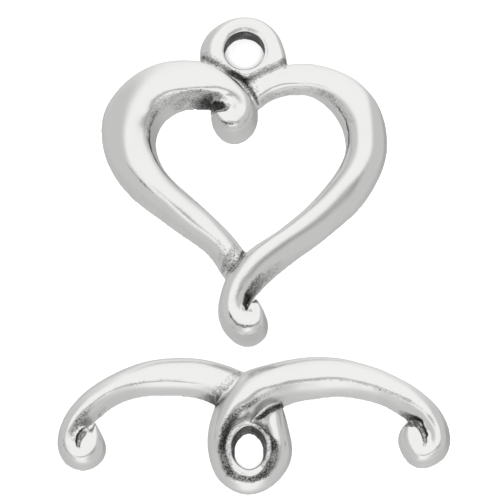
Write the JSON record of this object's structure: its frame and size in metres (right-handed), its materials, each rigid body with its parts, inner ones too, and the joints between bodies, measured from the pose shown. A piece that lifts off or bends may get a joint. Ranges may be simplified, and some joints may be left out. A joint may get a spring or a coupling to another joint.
{
  "type": "heart toggle clasp",
  "caption": "Heart-shaped toggle clasp: a ring of overlapping scroll strokes with a round bail, and a scroll-ended bar with an eye below its middle.",
  "frame": {"origin": "middle of the whole clasp on the surface that both castings lie on", "axes": "+Y from the toggle bar up the heart to its bail, +Z out of the decorated faces, +X to the right seen from the face side"},
  "size_m": [0.0244, 0.031, 0.0025],
  "materials": {
    "antique_silver": "antique silver plate: polished faces, grey side walls and dark patina in the recesses"
  },
  "bodies": {
    "root": {"heart_ring": "antique_silver", "toggle_bar": "antique_silver"}
  },
  "joints": []
}
